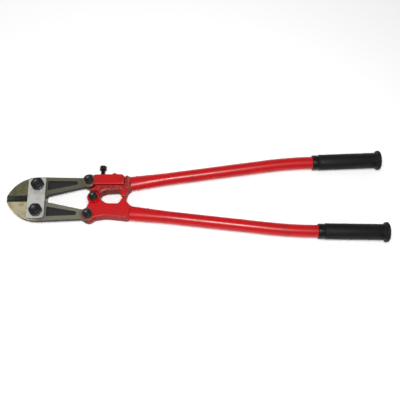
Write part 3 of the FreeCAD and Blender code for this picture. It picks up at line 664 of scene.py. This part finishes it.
@dataclass(frozen=True)
class GripRubber(Finish):
    """Dipped and moulded nitrile rubber. Soft black with a fine stipple that breaks up the light."""

    rubber: str = "#070708"
    bloom: str = "#0e0e0e"
    cloud_size: float = 14.0
    bloom_span: Pair = (0.4, 0.7)
    stipple: float = 0.8
    depth: float = 0.09
    roughness: Pair = (0.5, 0.66)
    band_end: float = 254.5
    band_roughness: float = 0.36
    specular: float = 0.3

    def dress(self, tree: Tree, shader: Node, place: Socket) -> None:
        """Black with a faint bloom, glossier on the mouth band. The stipple is drawn coarse enough to show.

        Args:
            tree: The material's node tree.
            shader: Its shader.
            place: The point on the grip, in metres.
        """
        cloud = add(
            tree, "ShaderNodeTexNoise", {"Vector": place, "Scale": per_mm(self.cloud_size), "Detail": 5.0},
        )
        blooming = add(
            tree, "ShaderNodeMapRange", {0: cloud.outputs[0], 1: self.bloom_span[0], 2: self.bloom_span[1]},
        )
        colour = add(
            tree, "ShaderNodeMix",
            {0: blooming.outputs[0], 6: linear(self.rubber), 7: linear(self.bloom)}, data_type="RGBA",
        )
        tree.links.new(colour.outputs[2], shader.inputs["Base Color"])
        low, high = NOISE_SPAN
        sheen = add(
            tree, "ShaderNodeMapRange",
            {0: cloud.outputs[0], 1: low, 2: high, 3: self.roughness[0], 4: self.roughness[1]},
        )
        along = add(tree, "ShaderNodeSeparateXYZ", {0: place})
        past_band = add(
            tree, "ShaderNodeMapRange",
            {0: along.outputs[0], 1: self.band_end * MM, 2: (self.band_end + 1) * MM},
        )
        gloss = add(
            tree, "ShaderNodeMix", {0: past_band.outputs[0], 2: self.band_roughness, 3: sheen.outputs[0]},
        )
        tree.links.new(gloss.outputs[0], shader.inputs["Roughness"])
        shader.inputs["IOR"].default_value = 1.45
        shader.inputs["Specular IOR Level"].default_value = self.specular
        grains = add(tree, "ShaderNodeTexVoronoi", {"Vector": place, "Scale": per_mm(self.stipple)})
        skin = add(tree, "ShaderNodeBump", {"Height": grains.outputs[0], "Distance": self.depth * MM})
        tree.links.new(skin.outputs[0], shader.inputs["Normal"])


class Coating(Enum):
    """The finishes of the tool, each with the record's material slot it belongs to."""

    FORGING = (
        RedEnamel(
            "red_enamel_on_forging",
            # Painted shade: the first oval darkens the band below the arm's step, the second a patch further
            # along by the tube; upright walls are darkened too
            shade_patches=((-172.7, 16.5, 34.0, 8.0), (-137.0, 34.0, 13.0, 24.0)), wall_share=0.75,
        ),
        "red_enamel",
    )
    TUBE = (
        RedEnamel(
            "red_enamel_on_tube", speck_from=0.77, wave_size=30.0, wave_depth=0.12, roughness=(0.26, 0.38),
        ),
        "red_enamel",
    )
    OXIDE = (BlackOxide("black_oxide_steel"), "black_oxide_steel")
    PLATE = (ZincPlate("zinc_plated_steel"), "plated_steel")
    OLIVE_JAW = (ForgedJawSteel("lacquered_jaw_steel_olive"), "forged_jaw_steel")
    CREAM_JAW = (
        ForgedJawSteel("lacquered_jaw_steel_cream", nose="#b7af91", blotch="#a09063", tail="#757262"),
        "forged_jaw_steel",
    )
    RUBBER = (GripRubber("nitrile_grip_rubber"), "grip_rubber")

    @property
    def finish(self) -> Finish:
        """The finish itself."""
        return self.value[0]

    @property
    def slot(self) -> str:
        """The record's material slot."""
        return self.value[1]


def joint_place(name: str) -> Vector:
    """The point, in metres, that a joint of the record turns about."""
    return next(Vector(joint["pos_m"]) for joint in frame["joints"] if joint["name"] == name)


def cad_copy(node: str) -> Work:
    """Copy a CAD node's mesh and merge its loose triangles.

    Args:
        node: The node's name.

    Returns:
        The copy, as a bmesh of its own.
    """
    work = bmesh.new()
    work.from_mesh(frame["nodes"][node].data)
    bmesh.ops.remove_doubles(work, verts=work.verts, dist=CAD_MERGE * MM)
    return work


def finished(work: Work, name: str, smooth_angle: float | None = None) -> Piece:
    """Turn a bmesh into a shown object and free it.

    Args:
        work: The bmesh, in its final place.
        name: The object's name.
        smooth_angle: Angle in degrees under which edges are shaded smooth, or None for all of them.

    Returns:
        The new object, at the origin.
    """
    mesh = bpy.data.meshes.new(name)
    for face in work.faces:
        face.smooth = True
    if smooth_angle is not None:
        limit = math.radians(smooth_angle)
        for edge in work.edges:
            edge.smooth = edge.calc_face_angle(math.pi) < limit
    work.to_mesh(mesh)
    work.free()
    piece = bpy.data.objects.new(name, mesh)
    bpy.context.scene.collection.objects.link(piece)
    return piece


def settle(piece: Piece, body: str, coating: Coating, *nodes: str) -> None:
    """Dress a new piece, ride it on its body and let it stand for its CAD nodes.

    Args:
        piece: The piece.
        body: The body it moves with.
        coating: Its finish and slot.
        *nodes: The CAD nodes it replaces.
    """
    coating.finish.put_on(piece)
    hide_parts(*nodes)
    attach(piece, body)
    LOG.info("%s rides on %s for %s", piece.name, body, ", ".join(nodes))


@dataclass
class ForgedBody:
    """A forged bracket or arm: the CAD solid with its corners softened and its skin left uneven."""

    node: str
    body: str
    bores: tuple[tuple[Vector, float], ...]
    cell: float = 0.8
    smoothing: int = 7
    unevenness: float = 0.22
    unevenness_size: float = 11.0

    def remeshed(self) -> Work:
        """Turn the CAD solid into an even grid of faces, fine enough to take rounded corners.

        Returns:
            The grid.
        """
        source = finished(cad_copy(self.node), self.node + "_source")
        grid = source.modifiers.new("grid", "REMESH")
        grid.mode = "VOXEL"
        grid.voxel_size = self.cell * MM
        shown = source.evaluated_get(bpy.context.evaluated_depsgraph_get())
        work = bmesh.new()
        work.from_mesh(shown.to_mesh())
        shown.to_mesh_clear()
        mesh = source.data
        bpy.data.objects.remove(source)
        bpy.data.meshes.remove(mesh)
        return work

    def free_of_bores(self, point: Vector) -> bool:
        """Whether a point is clear of the holes that have to keep their size."""
        return all((point - axis).xy.length > radius for axis, radius in self.bores)

    def build(self) -> Piece:
        """Remesh the solid, soften it and press its skin in by a smooth, uneven depth.

        Returns:
            The forging.
        """
        work = self.remeshed()
        soft = [vert for vert in work.verts if self.free_of_bores(vert.co)]
        for _ in range(self.smoothing):
            bmesh.ops.smooth_vert(
                work, verts=soft, factor=0.5, use_axis_x=True, use_axis_y=True, use_axis_z=True,
            )
        work.normal_update()
        for vert in soft:
            share = 0.5 + 0.5 * noise.noise(vert.co * per_mm(self.unevenness_size))
            vert.co -= vert.normal * (self.unevenness * MM * share)
        piece = finished(work, "forged_" + self.node)
        settle(piece, self.body, Coating.FORGING, self.node)
        return piece


@dataclass
class RubberGrip:
    """Rubber sleeve with a plain mouth band, a stippled barrel, fine end rings and a rounded flange."""

    side: Side
    mouth_x: float = 241.782
    mouth_y: float = 74.294
    slope: float = 1.55
    length: float = 141.0
    bore: float = 12.75
    bore_ease: Pair = (3.0, 0.3)
    band_radius: float = 15.2
    band_length: float = 12.0
    band_round: float = 1.0
    groove: Pair = (0.8, 0.5)
    groove_slopes: Pair = (0.6, 1.2)
    barrel_radius: float = 16.0
    crown: Pair = (60.0, 0.05)
    flange_radius: float = 20.0
    flange_width: float = 8.0
    flange_round: float = 1.6
    flange_root: Pair = (1.0, 1.2)
    end_rim: Pair = (4.5, 6.0)
    end_recess: float = 0.9
    end_dot: Pair = (4.2, 3.2)
    ring_pitch: float = 2.6
    ring_count: int = 4
    ring_depth: float = 0.8
    ring_steps: tuple[float, float, float] = (0.45, 1.05, 1.5)
    ring_gap: float = 2.0
    segments: int = 96
    edge_angle: float = 25.0
    edge_round: float = 0.28

    def front(self) -> list[Pair]:
        """Corners of the mouth, its band and the start of the barrel.

        Returns:
            Step along the grip and radius of each corner, in millimetres.
        """
        ease_length, ease = self.bore_ease
        groove_length, groove_depth = self.groove
        slope_in, slope_out = self.groove_slopes
        groove_start = self.band_length + slope_in
        groove_end = groove_start + groove_length
        return [
            (ease_length, self.bore),
            (0.0, self.bore + ease),
            (0.0, self.band_radius - self.band_round),
            (self.band_round, self.band_radius),
            (self.band_length, self.band_radius),
            (groove_start, self.band_radius - groove_depth),
            (groove_end, self.band_radius - groove_depth),
            (groove_end + slope_out, self.barrel_radius),
            (self.crown[0], self.barrel_radius + self.crown[1]),
        ]

    def rings(self, flange_start: float) -> list[Pair]:
        """Corners of the fine rings in front of the flange.

        Args:
            flange_start: Step at which the flange begins, in millimetres.

        Returns:
            Step and radius of each corner.
        """
        corners = []
        first = flange_start - self.ring_gap - self.ring_pitch * self.ring_count
        floor_start, floor_end, end = self.ring_steps
        floor = self.barrel_radius - self.ring_depth
        for ring in range(self.ring_count):
            step = first + ring * self.ring_pitch
            corners += [(step, self.barrel_radius), (step + floor_start, floor)]
            corners += [(step + floor_end, floor), (step + end, self.barrel_radius)]
        return corners

    def flange(self, start: float) -> list[Pair]:
        """Corners of the flange and of the dished end, in to the axis.

        Args:
            start: Step at which the flange begins, in millimetres.

        Returns:
            Step and radius of each corner.
        """
        edge = self.flange_radius
        return [
            (start - self.flange_root[0], self.barrel_radius),
            (start, self.barrel_radius + self.flange_root[1]),
            (start, edge - self.flange_round),
            (start + self.flange_round, edge),
            (self.length - self.flange_round, edge),
            (self.length, edge - self.flange_round),
            (self.length, edge - self.end_rim[0]),
            (self.length - self.end_recess, edge - self.end_rim[1]),
            (self.length - self.end_recess, self.end_dot[0]),
            (self.length, self.end_dot[1]),
            (self.length, 0.0),
        ]

    def sleeve(self) -> Work:
        """Spin the section about the X axis and round its corners.

        Returns:
            The sleeve, with its mouth at the origin.
        """
        flange_start = self.length - self.flange_width
        profile = self.front() + self.rings(flange_start) + self.flange(flange_start)
        work = bmesh.new()
        verts = [work.verts.new((step * MM, radius * MM, 0)) for step, radius in profile]
        edges = [work.edges.new(pair) for pair in zip(verts, verts[1:])]
        bmesh.ops.spin(
            work, geom=verts + edges, cent=(0, 0, 0), axis=(1, 0, 0), angle=math.tau,
            steps=self.segments, use_merge=True,
        )
        bmesh.ops.remove_doubles(work, verts=work.verts, dist=SPUN_MERGE * MM)
        bmesh.ops.recalc_face_normals(work, faces=work.faces)
        limit = math.radians(self.edge_angle)
        corners = [edge for edge in work.edges if edge.is_manifold and edge.calc_face_angle() > limit]
        bmesh.ops.bevel(
            work, geom=corners, offset=self.edge_round * MM, segments=2, profile=0.5,
            affect="EDGES", material=-1,
        )
        return work

    def build(self) -> Piece:
        """Put the sleeve on its handle.

        Returns:
            The grip.
        """
        work = self.sleeve()
        turn = Matrix.Rotation(math.radians(self.slope), 4, "Z")
        mouth = Vector((self.mouth_x, self.mouth_y, 0)) * MM + Vector((0, 0, MID_HEIGHT))
        bmesh.ops.transform(work, matrix=Matrix.Translation(mouth) @ turn, verts=work.verts)
        if self.side is Side.LOWER:
            bmesh.ops.transform(work, matrix=Matrix.Scale(-1, 4, (0, 1, 0)), verts=work.verts)
            bmesh.ops.reverse_faces(work, faces=work.faces)
        piece = finished(work, self.side.word + "_rubber_grip")
        settle(piece, self.side.word + "_handle", Coating.RUBBER, self.side.word + "_grip")
        return piece


@dataclass
class ThreadedScrew:
    """Adjusting screw: the CAD head on a shank with a real rolled thread."""

    node: str = "adjusting_screw"
    body: str = "adjusting_screw"
    radius: float = 4.0
    core: float = 3.3
    pitch: float = 1.25
    crest: Pair = (0.42, 0.58)
    steps_per_turn: int = 32
    core_segments: int = 48
    head_height: float = 8.0
    tip: float = 1.2
    smooth_angle: float = 32.0
    cut_reach: float = 0.0005

    def head(self, seat: float) -> Work:
        """Cut the CAD screw off at its seat.

        Args:
            seat: Y of the underside of the head, in metres.

        Returns:
            The closed head.
        """
        work = cad_copy(self.node)
        every = list(work.verts) + list(work.edges) + list(work.faces)
        cut = bmesh.ops.bisect_plane(
            work, geom=every, dist=self.cut_reach * MM, plane_co=(0, seat, 0), plane_no=(0, -1, 0),
            clear_outer=True,
        )
        rim = [item for item in cut["geom_cut"] if isinstance(item, bmesh.types.BMEdge)]
        bmesh.ops.holes_fill(work, edges=rim, sides=0)
        return work

    def add_thread(self, work: Work, axis: Vector, low: float, high: float) -> None:
        """Wind one ridge of thread round the core.

        Args:
            work: The bmesh that takes the thread.
            axis: A point on the screw's axis, in metres.
            low: Y at which the thread starts.
            high: Y that the thread doesn't pass.
        """
        turns = int((high - low) / (self.pitch * MM))
        section = [
            (self.core, 0.0), (self.radius, self.crest[0]), (self.radius, self.crest[1]), (self.core, 1.0),
        ]
        verts = [
            work.verts.new(axis + Vector((radius * MM, low - axis.y + share * self.pitch * MM, 0)))
            for radius, share in section
        ]
        edges = [work.edges.new(pair) for pair in zip(verts, verts[1:])]
        bmesh.ops.spin(
            work, geom=verts + edges, cent=axis, axis=(0, 1, 0), angle=math.tau * turns,
            dvec=(0, self.pitch * MM / self.steps_per_turn, 0), steps=turns * self.steps_per_turn,
        )

    def build(self) -> Piece:
        """Join head, core and thread.

        Returns:
            The screw.
        """
        low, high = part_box(self.node)
        axis = Vector(((low.x + high.x) / 2, low.y, (low.z + high.z) / 2))
        seat = high.y - self.head_height * MM
        work = self.head(seat)
        depth = seat - low.y
        core = bmesh.ops.create_cone(
            work, cap_ends=True, segments=self.core_segments, radius1=self.core * MM,
            radius2=self.core * MM, depth=depth,
        )
        lay = Matrix.Translation(axis + Vector((0, depth / 2, 0))) @ Matrix.Rotation(math.pi / 2, 4, "X")
        bmesh.ops.transform(work, matrix=lay, verts=core["verts"])
        self.add_thread(work, axis, low.y + self.tip * MM, seat)
        bmesh.ops.remove_doubles(work, verts=work.verts, dist=SPUN_MERGE * MM)
        bmesh.ops.recalc_face_normals(work, faces=work.faces)
        piece = finished(work, "threaded_adjusting_screw", self.smooth_angle)
        settle(piece, self.body, Coating.OXIDE, self.node)
        return piece


@dataclass
class CarriedNodes:
    """CAD nodes whose shape is right: they are shown as they are, in a finish of their own."""

    coatings: dict[str, Coating]

    def dress(self) -> None:
        """Put each node's finish on it."""
        for node, coating in self.coatings.items():
            coating.finish.put_on(frame["nodes"][node])
            LOG.info("%s is shown in %s", node, coating.finish.name)


def carried() -> CarriedNodes:
    """List the CAD nodes that stay.

    Returns:
        The nodes, with their finishes.
    """
    coatings = {
        "upper_jaw": Coating.OLIVE_JAW, "lower_jaw": Coating.CREAM_JAW,
        "top_strap": Coating.PLATE, "bottom_strap": Coating.PLATE,
        "center_bolt": Coating.OXIDE, "center_nut": Coating.OXIDE,
        "arm_pin": Coating.FORGING, "clamp_screw": Coating.OXIDE,
    }
    for side in Side:
        for part in ("jaw_bolt", "jaw_nut", "pivot_bolt", "pivot_nut"):
            coatings[side.word + "_" + part] = Coating.OXIDE
        coatings[side.word + "_tube"] = Coating.TUBE
        coatings[side.word + "_tube_rivets"] = Coating.TUBE
    return CarriedNodes(coatings)


def forged_bodies(pivot_bore: float = 6.5, pin_bore: float = 5.5) -> list[ForgedBody]:
    """List the three forgings, each with the holes that have to keep their size.

    Args:
        pivot_bore: Radius kept round a pivot bolt, in millimetres.
        pin_bore: Radius kept round the arm's pin, in millimetres.

    Returns:
        The forgings.
    """
    center = (joint_place("upper_handle_swing"), pivot_bore * MM)
    arm_pin = (joint_place("adjuster_arm_tilt"), pin_bore * MM)
    upper_rear, lower_rear = (
        (sum(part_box(side.word + "_pivot_bolt"), Vector()) / 2, pivot_bore * MM) for side in Side
    )
    return [
        ForgedBody("upper_bracket", "upper_handle", (center, arm_pin)),
        ForgedBody("lower_bracket", "lower_handle", (center, lower_rear)),
        ForgedBody("adjuster_arm", "adjuster_arm", (upper_rear, arm_pin)),
    ]


@dataclass(frozen=True)
class Lamp:
    """A rectangular soft light aimed at the middle of the tool. Sizes in metres, power in watts."""

    name: str
    place: tuple[float, float, float]
    size: Pair
    power: float

    def build(self) -> None:
        """Hang the lamp."""
        data = bpy.data.lights.new(self.name, "AREA")
        data.shape = "RECTANGLE"
        data.size, data.size_y = self.size
        data.energy = self.power
        lamp = bpy.data.objects.new(self.name, data)
        lamp.location = self.place
        lamp.rotation_euler = (-Vector(self.place)).to_track_quat("-Z", "Y").to_euler()
        bpy.context.scene.collection.objects.link(lamp)


@dataclass
class Studio:
    """Pale floor, soft lights and the camera."""

    floor_tint: str = "#ffffff"
    floor_reach: float = 30.0
    floor_roughness: float = 0.9
    glow: Pair = (0.09, 0.45)
    glow_reach: Pair = (0.8, 3.0)
    sky_overhead: float = 0.3
    sky_at_horizon: float = 0.7
    horizon_band: float = 0.35
    lamps: tuple[Lamp, ...] = (
        Lamp("key", (0.0, -0.36, 1.4), (0.4, 0.3), 16.5),
        Lamp("fill", (-1.2, 1.2, 1.0), (0.8, 0.8), 4.0),
    )
    look_at: tuple[float, float, float] = (8.38, -5.1, 20.2)
    azimuth: float = -1.1
    elevation: float = 69.8
    distance: float = 1214.0
    roll: float = 0.33
    lens: float = 53.82
    clip: Pair = (0.05, 80.0)

    def floor(self) -> None:
        """Lay a wide, flat pale sheet that glows a little far from the tool."""
        work = bmesh.new()
        bmesh.ops.create_grid(work, x_segments=2, y_segments=2, size=self.floor_reach)
        piece = finished(work, "pale_floor")
        material = bpy.data.materials.new("matt_paper")
        material.use_nodes = True
        tree = material.node_tree
        shader = tree.nodes["Principled BSDF"]
        place = add(tree, "ShaderNodeTexCoord").outputs["Object"]
        away = add(tree, "ShaderNodeVectorMath", {0: place}, operation="LENGTH")
        near, far = self.glow_reach
        glow = add(
            tree, "ShaderNodeMapRange",
            {0: away.outputs["Value"], 1: near, 2: far, 3: self.glow[0], 4: self.glow[1]},
            interpolation_type="SMOOTHSTEP",
        )
        tree.links.new(glow.outputs[0], shader.inputs["Emission Strength"])
        shader.inputs["Emission Color"].default_value = linear(self.floor_tint)
        shader.inputs["Base Color"].default_value = linear(self.floor_tint)
        shader.inputs["Roughness"].default_value = self.floor_roughness
        piece.data.materials.append(material)

    def light(self) -> None:
        """Set up a sky that is paler at the horizon, and the lamps."""
        world = bpy.data.worlds.new("soft_sky")
        bpy.context.scene.world = world
        world.use_nodes = True
        tree = world.node_tree
        sky = tree.nodes["Background"]
        sky.inputs["Color"].default_value = (1.0, 1.0, 1.0, 1.0)
        facing = add(tree, "ShaderNodeSeparateXYZ", {0: add(tree, "ShaderNodeTexCoord").outputs["Generated"]})
        fade = add(
            tree, "ShaderNodeMapRange",
            {0: facing.outputs[2], 2: self.horizon_band, 3: self.sky_at_horizon, 4: self.sky_overhead},
        )
        tree.links.new(fade.outputs[0], sky.inputs["Strength"])
        for lamp in self.lamps:
            lamp.build()
        bpy.context.scene.view_settings.view_transform = "Standard"

    def camera(self) -> None:
        """Place a fixed camera above the tool, tipped towards its lower handle."""
        data = bpy.data.cameras.new("camera")
        data.lens = self.lens
        data.sensor_width = 36.0
        data.clip_start, data.clip_end = self.clip
        camera = bpy.data.objects.new("camera", data)
        turn, lift = math.radians(self.azimuth), math.radians(self.elevation)
        back = Vector((math.sin(turn) * math.cos(lift), -math.cos(turn) * math.cos(lift), math.sin(lift)))
        camera.location = Vector(self.look_at) * MM + back * (self.distance * MM)
        facing = (-back).to_track_quat("-Z", "Y")
        roll = Matrix.Rotation(math.radians(self.roll), 3, back)
        camera.rotation_euler = (roll @ facing.to_matrix()).to_euler()
        bpy.context.scene.collection.objects.link(camera)
        bpy.context.scene.camera = camera

    def build(self) -> None:
        """Set up the camera, the lights and the floor."""
        self.camera()
        self.light()
        self.floor()


def main() -> None:
    """Build every piece in order and report it."""
    logging.basicConfig(level=logging.INFO, format="%(message)s")
    Studio().build()
    carried().dress()
    pieces = [forging.build() for forging in forged_bodies()]
    pieces += [RubberGrip(side).build() for side in Side]
    pieces.append(ThreadedScrew().build())
    for piece in pieces:
        LOG.info("%s has %d faces", piece.name, len(piece.data.polygons))


if __name__ == "__main__":
    main()
